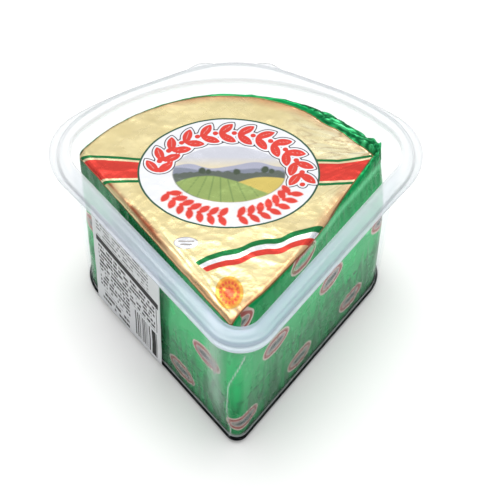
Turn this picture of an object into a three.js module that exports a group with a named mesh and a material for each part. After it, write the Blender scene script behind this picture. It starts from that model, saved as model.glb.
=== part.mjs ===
// A foil-wrapped wedge of blue cheese, standing in its clear thermoformed tub.
// Millimetres, +Z up. The wedge's point faces -Y and its curved back faces +Y.
// The origin is on the ground, under the centre of the tub's bounding box.

import * as THREE from 'three';

// ---------------------------------------------------------------- driving dimensions

// The plan of tub and cheese is a sector: two straight sides that meet at a point in
// front, and a back arc struck from a centre of its own. Sizes in plan are measured
// from the point where the two sides of the tub's base would meet.
const TUB_HALF_ANGLE = THREE.MathUtils.degToRad(36.3);
const TUB_ARC_CENTRE = 62.2;
const TUB_BACK_RADIUS = 90.9;

const RIM_HEIGHT = 91;
const WALL = 0.8;
const WALL_DRAFT = 4; // how much further out the wall is at the rim than at the base
const BASE_FILLET = 2.4;
const FLANGE_ROOT = 1.3; // fillet where the wall turns out into the flange
const SHOULDER_RADIUS = 1.3; // fillet where the flange turns down into its skirt
const BASE_CORNER = { apex: 5.5, corner: 23 };
const WALL_TOP_CORNER = { apex: 10, corner: 23 };

const FLANGE_CORNER = { apex: 15.7, corner: 36 };
const FLANGE_SIDE = 11.2; // shoulder of the flange beyond the base, at the straight sides
const FLANGE_BACK = 10.6; // the same at the back arc
const GRIP_WIDTH = 6; // how much wider the flange is in the middle of the back
const GRIP_HALF_SPAN = THREE.MathUtils.degToRad(27);
const SKIRT_DROP = 3.4;
const LIP_WIDTH = 1.3;
const EAR_WIDTH = 2.9; // how much wider the lip is at its two ears
const EAR_ANGLE = THREE.MathUtils.degToRad(58); // from the middle of the back
const EAR_HALF_SPAN = THREE.MathUtils.degToRad(27);
const TAB_WIDTH = 2.6; // and at the two small tabs either side of the middle
const TAB_ANGLE = THREE.MathUtils.degToRad(9);
const TAB_HALF_SPAN = THREE.MathUtils.degToRad(5);

// The cheese fills the foot of the tub and narrows a little towards its own top.
const WEDGE_HEIGHT = 83;
const WEDGE_FOOT_GAP = 0.5; // between the foil and the wall at the foot
const WEDGE_TOP_HALF_ANGLE = THREE.MathUtils.degToRad(34.8);
const WEDGE_TOP_ARC_CENTRE = 60.7;
const WEDGE_TOP_BACK_RADIUS = 84.3;
const WEDGE_TOP_CORNER = { apex: 2, corner: 5 };
const WEDGE_TOP_PLACE = { x: -3.2, y: 7.2, turn: THREE.MathUtils.degToRad(-0.3) };
const WEDGE_FOOT_RADIUS = 3;
const WEDGE_EDGE_RADIUS = 2.6;
const FOIL_DENT = 0.35;
const WIDE_DENT = 62; // lengths of the two waves that the dents are made of
const NARROW_DENT = 21;
const WIDE_SHARE = 0.6; // how much of a dent is its wide wave

// Crumpled foil stands up along the back right edge. Its places are angles round the
// wedge's back arc, from the right: where it starts, is highest and ends.
const TUFT_HEIGHT = 2;
const TUFT_START = THREE.MathUtils.degToRad(72);
const TUFT_TOP = THREE.MathUtils.degToRad(36);
const TUFT_END = THREE.MathUtils.degToRad(24);
const TUFT_WIDTH = 2.2;
const TUFT_CREASE = THREE.MathUtils.degToRad(8.8); // from one crease to the next
const TUFT_CREASE_DEPTH = 0.5; // as a share of the height

const CLEARANCE = 0.3; // between pieces that touch

const LABEL = { width: 55, height: 74, slant: 5, corner: 2, thickness: 0.25 };
const LABEL_FROM_POINT = 59.4; // the label's near lower corner, along the left side
const LABEL_BOTTOM = 2.2;

// ---------------------------------------------------------------- plan outlines

/**
 * One closed outline of the sector, as curves that start at its point and run
 * counter-clockwise seen from above. `side` and `back` move the straight sides and
 * the arc outwards; `apex` and `corner` are the radii of the rounded corners.
 */
function sectorCurves({ halfAngle, arcCentre, arcRadius }, { side, back, apex, corner }) {
  const sin = Math.sin(halfAngle);
  const cos = Math.cos(halfAngle);
  const radius = arcRadius + back;

  // Centre of the right corner: `corner` inside both the side and the arc.
  const inset = side - corner;
  const start = new THREE.Vector2(inset * cos, -inset * sin);
  const along = new THREE.Vector2(sin, cos);
  const toArc = start.clone().sub(new THREE.Vector2(0, arcCentre));
  const half = -toArc.dot(along);
  const reach = half + Math.sqrt(half ** 2 - toArc.lengthSq() + (radius - corner) ** 2);
  const centre = start.addScaledVector(along, reach);

  const apexY = (apex - side) / sin;
  const sideNormal = -halfAngle; // direction the right side faces
  const meet = Math.atan2(centre.y - arcCentre, centre.x);
  const arc = (x, y, r, from, to) => new THREE.EllipseCurve(x, y, r, r, from, to, false, 0);

  const apexArc = arc(0, apexY, apex, -Math.PI - sideNormal, sideNormal);
  const rightArc = arc(centre.x, centre.y, corner, sideNormal, meet);
  const backArc = arc(0, arcCentre, radius, meet, Math.PI - meet);
  const leftArc = arc(-centre.x, centre.y, corner, Math.PI - meet, Math.PI - sideNormal);
  const line = (from, to) => new THREE.LineCurve(from.getPoint(1), to.getPoint(0));
  return [apexArc, line(apexArc, rightArc), rightArc, backArc, leftArc, line(leftArc, apexArc)];
}

/** Points along an outline, with a set number on each of its six curves. */
function outlinePoints(curves, steps) {
  return curves.flatMap((curve, index) =>
    Array.from({ length: steps[index] }, (_, step) => curve.getPoint(step / steps[index])),
  );
}

// ---------------------------------------------------------------- lofting

/** A closed solid through rings of points, capped by a fan at both ends. */
function loftSolid(rings) {
  const count = rings[0].length;
  const centreOf = (ring) =>
    ring.reduce((sum, point) => sum.add(point), new THREE.Vector3()).divideScalar(count);
  const points = [...rings.flat(), centreOf(rings[0]), centreOf(rings.at(-1))];
  const firstCentre = points.length - 2;
  const lastCentre = points.length - 1;
  const lastRing = (rings.length - 1) * count;

  const faces = [];
  for (let step = 0; step < count; step += 1) {
    const next = (step + 1) % count;
    faces.push(firstCentre, next, step);
    faces.push(lastCentre, lastRing + step, lastRing + next);
    for (let ring = 0; ring < lastRing; ring += count) {
      faces.push(ring + step, ring + next, ring + count + next);
      faces.push(ring + step, ring + count + next, ring + count + step);
    }
  }
  const geometry = new THREE.BufferGeometry().setFromPoints(points);
  geometry.setIndex(faces);
  geometry.computeVertexNormals();
  return geometry;
}

/** A fillet's middle, as a share of its radius in from the corner that it rounds. */
const FILLET_MIDDLE = 1 - Math.SQRT1_2;

/** A smooth hump of height 1 at `centre`, gone at `halfSpan` on either side. */
function hump(value, centre, halfSpan) {
  const distance = Math.min(1, Math.abs(value - centre) / halfSpan);
  return 0.5 + 0.5 * Math.cos(Math.PI * distance);
}

// ---------------------------------------------------------------- tub

const TUB_PLAN = {
  halfAngle: TUB_HALF_ANGLE,
  arcCentre: TUB_ARC_CENTRE,
  arcRadius: TUB_BACK_RADIUS,
};
const TUB_STEPS = [10, 6, 12, 44, 12, 6];

/** A ring of the wall: `t` is 0 at the base and 1 at the rim. */
function wallRing(t, offset, z) {
  const out = WALL_DRAFT * t + offset;
  const mix = (key) => THREE.MathUtils.lerp(BASE_CORNER[key], WALL_TOP_CORNER[key], t);
  return tubRing({ side: out, back: out, apex: mix('apex'), corner: mix('corner') }, z);
}

/** A ring of the flange: `t` is 0 at the top of the wall and 1 at the shoulder. */
function flangeRing(t, beyond, z) {
  const mix = THREE.MathUtils.lerp;
  const ring = tubRing(
    {
      side: mix(WALL_DRAFT, FLANGE_SIDE, t) + beyond,
      back: mix(WALL_DRAFT, FLANGE_BACK, t) + beyond,
      apex: mix(WALL_TOP_CORNER.apex, FLANGE_CORNER.apex, t),
      corner: mix(WALL_TOP_CORNER.corner, FLANGE_CORNER.corner, t),
    },
    z,
  );
  return widened(ring, (fromMiddle) => t * GRIP_WIDTH * hump(fromMiddle, 0, GRIP_HALF_SPAN));
}

function tubRing(sizes, z) {
  const points = outlinePoints(sectorCurves(TUB_PLAN, sizes), TUB_STEPS);
  return points.map((point) => new THREE.Vector3(point.x, point.y, z));
}

/** Moves a ring's points out by a width that depends on the angle from the back's middle. */
function widened(ring, widthAt) {
  const centre = new THREE.Vector2(0, TUB_ARC_CENTRE);
  return ring.map((point) => {
    const outwards = new THREE.Vector2(point.x, point.y).sub(centre);
    const fromMiddle = Math.abs(outwards.angle() - Math.PI / 2);
    outwards.setLength(widthAt(fromMiddle));
    return new THREE.Vector3(point.x + outwards.x, point.y + outwards.y, point.z);
  });
}

/** A ring of the lip, with its two ears and two tabs. */
function lipRing(z) {
  return widened(flangeRing(1, LIP_WIDTH, z), (fromMiddle) => {
    const ear = EAR_WIDTH * hump(fromMiddle, EAR_ANGLE, EAR_HALF_SPAN);
    return ear + TAB_WIDTH * hump(fromMiddle, TAB_ANGLE, TAB_HALF_SPAN);
  });
}

function tubGeometry() {
  const underside = RIM_HEIGHT - WALL;
  const lipTop = RIM_HEIGHT - SKIRT_DROP;
  const footShare = BASE_FILLET / RIM_HEIGHT;
  const baseMiddle = FILLET_MIDDLE * BASE_FILLET;
  const rootMiddle = FILLET_MIDDLE * FLANGE_ROOT;
  const shoulderMiddle = FILLET_MIDDLE * SHOULDER_RADIUS;

  const outsideWall = [
    wallRing(0, -BASE_FILLET, 0),
    wallRing(0, -baseMiddle, baseMiddle),
    wallRing(footShare, 0, BASE_FILLET),
    wallRing(1 / 3, 0, RIM_HEIGHT / 3),
    wallRing(2 / 3, 0, (2 * RIM_HEIGHT) / 3),
    wallRing(1, 0, underside - FLANGE_ROOT),
  ];
  const underFlange = [
    flangeRing(0, rootMiddle, underside - rootMiddle),
    flangeRing(0, FLANGE_ROOT, underside),
    flangeRing(1, -SHOULDER_RADIUS, underside),
    flangeRing(1, -WALL, underside - WALL),
    flangeRing(1, -WALL, lipTop - WALL),
  ];
  const lip = [lipRing(lipTop - WALL), lipRing(lipTop)];
  const overFlange = [
    flangeRing(1, 0, lipTop),
    flangeRing(1, 0, RIM_HEIGHT - SHOULDER_RADIUS),
    flangeRing(1, -shoulderMiddle, RIM_HEIGHT - shoulderMiddle),
    flangeRing(1, -SHOULDER_RADIUS, RIM_HEIGHT),
    flangeRing(0, FLANGE_ROOT - WALL, RIM_HEIGHT),
    flangeRing(0, rootMiddle - WALL, RIM_HEIGHT - rootMiddle),
  ];
  const insideWall = [
    wallRing(1, -WALL, RIM_HEIGHT - FLANGE_ROOT),
    wallRing(2 / 3, -WALL, (2 * RIM_HEIGHT) / 3),
    wallRing(1 / 3, -WALL, RIM_HEIGHT / 3),
    wallRing(footShare, -WALL, WALL + BASE_FILLET),
    wallRing(0, -WALL - baseMiddle, WALL + baseMiddle),
    wallRing(0, -WALL - BASE_FILLET, WALL),
  ];
  return loftSolid([...outsideWall, ...underFlange, ...lip, ...overFlange, ...insideWall]);
}

// ---------------------------------------------------------------- foil-wrapped cheese

const WEDGE_TOP_PLAN = {
  halfAngle: WEDGE_TOP_HALF_ANGLE,
  arcCentre: WEDGE_TOP_ARC_CENTRE,
  arcRadius: WEDGE_TOP_BACK_RADIUS,
};
const WEDGE_STEPS = [4, 18, 5, 34, 5, 18];
const WEDGE_CENTRE = new THREE.Vector2(
  WEDGE_TOP_PLACE.x,
  WEDGE_TOP_PLACE.y + WEDGE_TOP_ARC_CENTRE,
);

/** Shallow dents that the fingers leave in wrapped cheese, between -1 and 1. */
function dents(x, y, z) {
  const wave = (distance, length) => Math.sin((2 * Math.PI * distance) / length);
  const wide = wave(x + y / 2 + z / 2, WIDE_DENT) * wave(z - y / 2, WIDE_DENT);
  const narrow = wave(x - y, NARROW_DENT) * wave(z + x, NARROW_DENT);
  return WIDE_SHARE * wide + (1 - WIDE_SHARE) * narrow;
}

/** How far the crumpled foil stands up at a point of the wedge's edge. */
function tuft(point) {
  const angle = Math.atan2(point.y - WEDGE_CENTRE.y, point.x - WEDGE_CENTRE.x);
  const rise = 1 - THREE.MathUtils.smoothstep(angle, TUFT_TOP, TUFT_START);
  const fall = THREE.MathUtils.smoothstep(angle, TUFT_END, TUFT_TOP);
  const inCrease = 0.5 - 0.5 * Math.sin((2 * Math.PI * angle) / TUFT_CREASE);
  return TUFT_HEIGHT * rise * fall * (1 - TUFT_CREASE_DEPTH * inCrease);
}

/** The wedge's outline at its foot, `inset` inside the part that fills the tub. */
function wedgeFootPoints(inset) {
  const out = -WALL - WEDGE_FOOT_GAP - inset;
  const apex = BASE_CORNER.apex - WALL - WEDGE_FOOT_GAP;
  const corner = BASE_CORNER.corner - WALL - WEDGE_FOOT_GAP;
  return outlinePoints(sectorCurves(TUB_PLAN, { side: out, back: out, apex, corner }), WEDGE_STEPS);
}

/** The wedge's outline at its top, `inset` inside the full width. */
function wedgeTopPoints(inset) {
  const sizes = { side: -inset, back: -inset, ...WEDGE_TOP_CORNER };
  const middle = new THREE.Vector2();
  return outlinePoints(sectorCurves(WEDGE_TOP_PLAN, sizes), WEDGE_STEPS).map((point) =>
    point
      .rotateAround(middle, WEDGE_TOP_PLACE.turn)
      .add(new THREE.Vector2(WEDGE_TOP_PLACE.x, WEDGE_TOP_PLACE.y)),
  );
}

/** A ring of the wedge at height z, `inset` inside its outline there. */
function wedgeRing(inset, z, { dent = FOIL_DENT, lift = 0 } = {}) {
  const share = z / WEDGE_HEIGHT;
  const topPoints = wedgeTopPoints(inset);
  return wedgeFootPoints(inset).map((foot, index) => {
    const point = foot.lerp(topPoints[index], share);
    const outwards = point.clone().sub(WEDGE_CENTRE).normalize();
    point.addScaledVector(outwards, dent * dents(point.x, point.y, z));
    return new THREE.Vector3(point.x, point.y, z + lift * tuft(point));
  });
}

function wedgeGeometry() {
  const footMiddle = FILLET_MIDDLE * WEDGE_FOOT_RADIUS;
  const edgeMiddle = FILLET_MIDDLE * WEDGE_EDGE_RADIUS;
  const shoulder = WEDGE_HEIGHT - WEDGE_EDGE_RADIUS;
  const sideSteps = 7;
  const topSteps = 7;

  const bottom = [
    wedgeRing(WEDGE_FOOT_RADIUS, 0, { dent: 0 }),
    wedgeRing(footMiddle, footMiddle, { dent: 0 }),
    wedgeRing(0, WEDGE_FOOT_RADIUS, { dent: 0 }),
  ];
  const sides = Array.from({ length: sideSteps }, (_, step) =>
    wedgeRing(0, THREE.MathUtils.lerp(WEDGE_FOOT_RADIUS, shoulder, (step + 1) / sideSteps)),
  );
  const topEdge = [
    wedgeRing(edgeMiddle, WEDGE_HEIGHT - edgeMiddle, { lift: 1 - FILLET_MIDDLE }),
    wedgeRing(WEDGE_EDGE_RADIUS, WEDGE_HEIGHT, { dent: 0, lift: 1 }),
    wedgeRing(WEDGE_EDGE_RADIUS + TUFT_WIDTH, WEDGE_HEIGHT, { dent: 0 }),
  ];
  const rim = topEdge.at(-1);
  const middle = new THREE.Vector3(WEDGE_CENTRE.x, WEDGE_CENTRE.y, WEDGE_HEIGHT);
  const top = Array.from({ length: topSteps }, (_, step) => {
    const inwards = (step + 1) / (topSteps + 1);
    return rim.map((point) => {
      const inner = point.clone().lerp(middle, inwards);
      inner.z += FOIL_DENT * dents(inner.y, inner.x, WEDGE_HEIGHT);
      return inner;
    });
  });
  return loftSolid([...bottom, ...sides, ...topEdge, ...top]);
}

// ---------------------------------------------------------------- label

/** The label's slanted sheet with rounded corners, lying flat from its lower far corner. */
function labelGeometry() {
  const { width, height, slant, corner, thickness } = LABEL;
  const corners = [
    new THREE.Vector2(0, 0),
    new THREE.Vector2(width, 0),
    new THREE.Vector2(width + slant, height),
    new THREE.Vector2(slant, height),
  ];
  const shape = new THREE.Shape();
  corners.forEach((at, index) => {
    const before = corners.at(index - 1).clone().sub(at).setLength(corner).add(at);
    const after = corners[(index + 1) % corners.length].clone().sub(at).setLength(corner).add(at);
    if (index === 0) {
      shape.moveTo(before.x, before.y);
    } else {
      shape.lineTo(before.x, before.y);
    }
    shape.quadraticCurveTo(at.x, at.y, after.x, after.y);
  });
  return new THREE.ExtrudeGeometry(shape, {
    depth: thickness,
    bevelEnabled: false,
    curveSegments: 5,
  });
}

/** Stands the label on the tub's left wall, just clear of it. */
function placeOnLeftWall(label) {
  const sin = Math.sin(TUB_HALF_ANGLE);
  const cos = Math.cos(TUB_HALF_ANGLE);
  const outwards = new THREE.Vector3(-cos, -sin, -WALL_DRAFT / RIM_HEIGHT).normalize();
  const towardsPoint = new THREE.Vector3(sin, -cos, 0);
  const upTheWall = outwards.clone().cross(towardsPoint);
  const turn = new THREE.Matrix4().makeBasis(towardsPoint, upTheWall, outwards);
  label.quaternion.setFromRotationMatrix(turn);

  const foot = WALL_DRAFT * (LABEL_BOTTOM / RIM_HEIGHT) + CLEARANCE;
  const farEdge = LABEL_FROM_POINT + LABEL.width;
  label.position
    .set(0, 0, LABEL_BOTTOM)
    .addScaledVector(towardsPoint, -farEdge)
    .add(new THREE.Vector3(-cos, -sin, 0).multiplyScalar(foot));
}

// ---------------------------------------------------------------- the object

const clearPlastic = new THREE.MeshStandardMaterial({
  color: 0xdce6ec,
  roughness: 0.12,
  metalness: 0,
  transparent: true,
  opacity: 0.35,
});
const greenFoil = new THREE.MeshStandardMaterial({
  color: 0x2f9e5c,
  roughness: 0.3,
  metalness: 0.6,
});
const labelPaper = new THREE.MeshStandardMaterial({
  color: 0xe4e6ea,
  roughness: 0.6,
  metalness: 0,
});

const tub = new THREE.Mesh(tubGeometry(), clearPlastic);
tub.name = 'tub';

const wedge = new THREE.Mesh(wedgeGeometry(), greenFoil);
wedge.name = 'foil_wedge';
wedge.position.z = WALL + CLEARANCE;

const label = new THREE.Mesh(labelGeometry(), labelPaper);
label.name = 'label';
placeOnLeftWall(label);

const pack = new THREE.Group();
pack.add(tub, wedge, label);

const bounds = new THREE.Box3().setFromObject(pack);
const centre = bounds.getCenter(new THREE.Vector3());
pack.position.set(-centre.x, -centre.y, 0);

export default pack;
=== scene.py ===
"""A foil-wrapped wedge of blue cheese in its clear thermoformed tub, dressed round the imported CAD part.

Sizes are in millimetres up to the point where a mesh is made. The plan of tub and cheese is a sector:
two straight sides that meet at a point in front (-Y), and a back arc struck from a centre of its own.
"""

import math
from types import SimpleNamespace

import bpy
import numpy as np
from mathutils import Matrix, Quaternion, Vector


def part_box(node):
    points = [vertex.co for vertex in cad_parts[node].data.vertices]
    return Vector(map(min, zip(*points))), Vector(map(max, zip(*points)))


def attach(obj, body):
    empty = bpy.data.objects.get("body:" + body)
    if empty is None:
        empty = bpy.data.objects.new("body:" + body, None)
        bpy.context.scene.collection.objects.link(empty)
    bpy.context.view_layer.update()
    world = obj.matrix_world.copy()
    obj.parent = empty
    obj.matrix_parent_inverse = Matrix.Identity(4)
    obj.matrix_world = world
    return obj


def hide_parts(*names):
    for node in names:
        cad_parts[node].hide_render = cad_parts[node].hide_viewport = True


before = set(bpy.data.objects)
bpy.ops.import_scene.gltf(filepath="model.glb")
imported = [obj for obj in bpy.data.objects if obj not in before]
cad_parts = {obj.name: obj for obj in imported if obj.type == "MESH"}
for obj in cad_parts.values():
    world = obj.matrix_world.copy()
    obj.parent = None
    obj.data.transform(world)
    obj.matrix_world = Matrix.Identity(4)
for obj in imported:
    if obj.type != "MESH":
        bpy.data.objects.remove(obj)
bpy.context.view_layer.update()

MM = 0.001
BODY = "root"
TINY = 1e-9

# ---------------- sizes, as the solids have them

TUB_PLAN = {"half_angle": math.radians(36.3), "arc_centre": 62.2, "arc_radius": 90.9}
RIM_HEIGHT = 91.0
WALL = 0.8
WALL_DRAFT = 4.0
BASE_FILLET = 2.4
FLANGE_ROOT = 1.3
SHOULDER_RADIUS = 1.3
FLANGE_SIDE = 11.2
FLANGE_BACK = 10.6
GRIP_WIDTH = 6.0
GRIP_HALF_SPAN = math.radians(27)
SKIRT_DROP = 3.4
FLANGE_CROWN = 1.05
LIP_WIDTH = 1.3
EAR = {"width": 2.9, "angle": math.radians(58), "half_span": math.radians(27)}
TAB = {"width": 2.6, "angle": math.radians(9), "half_span": math.radians(5)}

WEDGE_PLAN = {"half_angle": math.radians(34.8), "arc_centre": 60.7, "arc_radius": 84.3}
WEDGE_HEIGHT = 83.0
WEDGE_FOOT_GAP = 0.5
WEDGE_PLACE = np.array([-3.2, 7.2])
WEDGE_TURN = math.radians(-0.3)
WEDGE_FOOT_RADIUS = 3.0
WEDGE_EDGE_RADIUS = 2.6
FOIL_DENT = 0.35
WIDE_DENT, NARROW_DENT, WIDE_SHARE = 62.0, 21.0, 0.6

# Corner radii in plan: at the point in front, and at the two corners of the back.
BASE_CORNERS = np.array([5.5, 23.0])
WALL_TOP_CORNERS = np.array([10.0, 23.0])
FLANGE_CORNERS = np.array([15.7, 36.0])
WEDGE_CORNERS = np.array([2.0, 5.0])

# The flange's lip reaches this far in front of the point where the sides of the base would meet.
LIP_POINT = FLANGE_CORNERS[0] - (FLANGE_CORNERS[0] - FLANGE_SIDE - LIP_WIDTH) / math.sin(
    TUB_PLAN["half_angle"]
)
PLAN_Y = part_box("tub")[0].y / MM + LIP_POINT
WEDGE_FOOT_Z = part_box("foil_wedge")[0].z / MM
WEDGE_TOP_Z = WEDGE_FOOT_Z + WEDGE_HEIGHT
WEDGE_APEX = WEDGE_PLACE + [0, PLAN_Y]
WEDGE_MIDDLE = WEDGE_APEX + [0, WEDGE_PLAN["arc_centre"]]

# ---------------- shares and directions


def lerp(first, last, share):
    return first + (last - first) * share


def clipped(value):
    return np.clip(value, 0, 1)


def smoothstep(low, high, value):
    share = clipped((value - low) / (high - low))
    return share * share * (3 - 2 * share)


def falloff(low, high, value):
    return 1 - smoothstep(low, high, value)


def within(value, start, full, fading, end):
    """1 between full and fading, and smoothly down to 0 at start and at end."""
    return smoothstep(start, full, value) * falloff(fading, end, value)


def hump(value, centre, half_span):
    """A smooth hump of height 1 at centre, gone at half_span on either side."""
    distance = np.minimum(1, np.abs(value - centre) / half_span)
    return 0.5 + 0.5 * np.cos(np.pi * distance)


def from_nearest(value, pitch):
    """How far a value lies from the nearest multiple of pitch."""
    return value - pitch * np.round(value / pitch)


def direction(angle):
    return np.array([math.cos(angle), math.sin(angle)])


def unit(vectors):
    return vectors / np.maximum(np.linalg.norm(vectors, axis=-1, keepdims=True), TINY)


def turned(x, y, origin, angle):
    """Points in axes that stand at origin and are turned by angle: how far along and across."""
    u, v = x - origin[0], y - origin[1]
    cos, sin = direction(angle)
    return u * cos + v * sin, v * cos - u * sin


def from_middle(x, y):
    """Points by their reach and angle from the centre of the wedge's back arc."""
    u, v = x - WEDGE_MIDDLE[0], y - WEDGE_MIDDLE[1]
    return np.hypot(u, v), np.arctan2(v, u)


def rounding(radius, count=6):
    """Points along a rounded edge, by how far each lies from the one and from the other of its faces."""
    angles = np.linspace(0, np.pi / 2, count)
    return [(radius * (1 - math.sin(angle)), radius * (1 - math.cos(angle))) for angle in angles]


# ---------------- noise


class Noise:
    """Smooth seeded noise in three dimensions, between about -1 and 1."""

    CELLS = 32
    GAIN = 1.6

    def __init__(self, seed):
        self.gradients = unit(np.random.default_rng(seed).normal(size=(self.CELLS,) * 3 + (3,)))

    def __call__(self, points, size):
        """The noise at points (N, 3), with cells of that size; size may differ by axis."""
        scaled = points / np.asarray(size, float)
        cell = np.floor(scaled).astype(int)
        inside = scaled - cell
        fade = inside**3 * (inside * (inside * 6 - 15) + 10)
        total = np.zeros(len(points))
        for corner in np.ndindex(2, 2, 2):
            index = (cell + corner) % self.CELLS
            gradient = self.gradients[index[:, 0], index[:, 1], index[:, 2]]
            weight = np.prod(np.where(corner, fade, 1 - fade), axis=1)
            total += weight * np.einsum("ij,ij->i", gradient, inside - corner)
        return self.GAIN * total

    def on_sheet(self, u, v, size, layer=0.0):
        """The noise on a flat sheet; sheets on other layers have patterns of their own."""
        return self(np.column_stack([u, v, np.full(len(u), layer)]), (*size, 1))


def creased(noise, valley=-0.3):
    """Noise folded at its zero crossings: facets between sharp valleys, whose floor is at valley."""
    return np.abs(noise) + valley


# ---------------- meshes


def sector_outline(plan, side, back, corners, steps):
    """Points of the sector's outline, counter-clockwise from above, from the left end of its apex arc.

    side and back move the straight sides and the arc outwards. steps counts the points on the apex
    arc, the right side, its corner, the back arc, the left corner and the left side.
    """
    apex, corner = corners
    along = direction(math.pi / 2 - plan["half_angle"])
    arc_centre = np.array([0, plan["arc_centre"]])
    radius = plan["arc_radius"] + back
    start = (side - corner) * along[::-1] * [1, -1]
    to_arc = start - arc_centre
    half = -to_arc @ along
    reach = half + math.sqrt(half**2 - to_arc @ to_arc + (radius - corner) ** 2)
    centre = start + along * reach

    facing = -plan["half_angle"]
    meet = math.atan2(centre[1] - arc_centre[1], centre[0])
    arcs = [
        (np.array([0, (apex - side) / along[0]]), apex, -math.pi - facing, facing),
        (centre, corner, facing, meet),
        (arc_centre, radius, meet, math.pi - meet),
        (centre * [-1, 1], corner, math.pi - meet, math.pi - facing),
    ]

    def on_arc(which, share):
        middle, r, first, last = arcs[which]
        angle = lerp(first, last, share)
        return middle + r * np.stack([np.cos(angle), np.sin(angle)], -1)

    def on_line(before, after, share):
        return lerp(on_arc(before, np.ones(1)), on_arc(after, np.zeros(1)), share[:, None])

    parts = [(on_arc, 0), (on_line, 0, 1), (on_arc, 1), (on_arc, 2), (on_arc, 3), (on_line, 3, 0)]
    return np.concatenate([
        part(*which, np.arange(count) / count) for (part, *which), count in zip(parts, steps)
    ])


def at_height(outline, z):
    """A ring of points at height z, its plan moved to the frame's origin."""
    return np.column_stack([outline[:, 0], outline[:, 1] + PLAN_Y, np.full(len(outline), z)])


def grid_normals(rings):
    """Unit normals of rings of points, (rings, points, 3), that run counter-clockwise and upwards."""
    around = np.roll(rings, -1, axis=1) - np.roll(rings, 1, axis=1)
    return unit(np.cross(around, np.gradient(rings, axis=0)))


def linked(name, data):
    """A new object in the scene."""
    thing = bpy.data.objects.new(name, data)
    bpy.context.scene.collection.objects.link(thing)
    return thing


def ring_mesh(name, rings, attributes):
    """A closed body through rings of points, capped at both ends, with float attributes by point."""
    count = rings.shape[1]
    points = np.concatenate([rings.reshape(-1, 3), [rings[0].mean(0), rings[-1].mean(0)]]) * MM

    step = np.arange(count)
    after = (step + 1) % count
    starts = np.arange(len(rings) - 1)[:, None] * count
    last_ring = (len(rings) - 1) * count
    first_cap = np.full(count, len(points) - 2)
    quads = [starts + step, starts + after, starts + count + after, starts + count + step]
    bottom = [first_cap, after, step]
    top = [first_cap + 1, last_ring + step, last_ring + after]
    faces = [np.stack(sides, -1).reshape(-1, len(sides)).tolist() for sides in (quads, bottom, top)]

    mesh = bpy.data.meshes.new(name)
    mesh.from_pydata(points.tolist(), [], sum(faces, []))
    for key, values in attributes.items():
        values = np.asarray(values, float).reshape(len(rings), count)
        flat = np.concatenate([values.ravel(), [values[0].mean(), values[-1].mean()]])
        mesh.attributes.new(key, "FLOAT", "POINT").data.foreach_set("value", flat)
    mesh.shade_smooth()
    mesh.update()
    return linked(name, mesh)


# ---------------- signed distances, negative inside

# For a point that is well inside one shape, so that only the others count.
WELL_INSIDE = -9.0


def segment(u, v, start, end):
    """Distance to a straight line that lies along u from start to end."""
    return np.hypot(np.maximum(np.maximum(start - u, u - end), 0), v)


def ellipse(x, y, centre, radii):
    u, v = x - centre[0], y - centre[1]
    near = np.hypot(u / radii[0], v / radii[1])
    slope = np.hypot(u / radii[0] ** 2, v / radii[1] ** 2)
    return near * (near - 1) / np.maximum(slope, TINY)


def polygon(x, y, corners):
    """Distance to a closed outline of straight edges."""
    nearest, inside = np.inf, False
    for a, b in zip(corners, corners[1:] + corners[:1]):
        across, up = b[0] - a[0], b[1] - a[1]
        u, v = turned(x, y, a, math.atan2(up, across))
        nearest = np.minimum(nearest, segment(u, v, 0, math.hypot(across, up)))
        inside ^= ((a[1] > y) != (b[1] > y)) & ((v > 0) == (up > 0))
    return np.where(inside, -nearest, nearest)


def leaf(x, y, root, angle, length, width):
    """A pointed leaf from its root, as the lens where two equal circles overlap."""
    u, v = turned(x, y, root, angle)
    half, rise = length / 2, width / 2
    radius = (half**2 + rise**2) / (2 * rise)
    return np.hypot(u - half, np.abs(v) + radius - rise) - radius


def smooth_line(x, knots):
    """A smooth curve through (x, y) knots, as its height over x."""
    at, height = np.asarray(knots, float).T
    slope = np.gradient(height, at)
    index = np.clip(np.searchsorted(at, x) - 1, 0, len(at) - 2)
    span = at[index + 1] - at[index]
    share = clipped((x - at[index]) / span)
    first = height[index] * (1 + 2 * share) + span * slope[index] * share
    last = height[index + 1] * (3 - 2 * share) - span * slope[index + 1] * (1 - share)
    return first * (1 - share) ** 2 + last * share**2


# ---------------- colours

STUDIO_LEVEL = 1.3


def rgb(red, green, blue):
    """The linear colour that shows as these 8-bit values under the studio's light."""
    def linear(value):
        share = value / 255
        lit = share / 12.92 if share <= 0.04045 else ((share + 0.055) / 1.055) ** 2.4
        return lit / STUDIO_LEVEL
    return (linear(red), linear(green), linear(blue), 1.0)


GOLD = rgb(248, 230, 172)
GOLD_RIM = rgb(236, 172, 122)
GOLD_HIGHLIGHT = rgb(255, 252, 218)
GOLD_EDGE = rgb(138, 88, 58)
CREASE_BROWN = rgb(148, 84, 58)
FOIL_GREEN = rgb(16, 214, 118)
FOIL_DARK = rgb(6, 104, 56)
FOIL_HIGHLIGHT = rgb(110, 228, 160)
BAND_GREEN = rgb(38, 128, 72)
RED = rgb(232, 76, 66)
WHITE = rgb(248, 250, 255)
PINK = rgb(246, 190, 186)
STAMP_GREY = rgb(178, 172, 168)
SEAL_RED = rgb(232, 100, 72)
SIDE_RING = rgb(236, 206, 200)
LABEL_INK = rgb(34, 34, 38)

# ---------------- the print on the top

OVAL = (-3.6, 18.3)
OVAL_RADII = (42.7, 36.0)
PICTURE = (-3.6, 17.0)
PICTURE_RADII = (26.2, 18.3)

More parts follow.
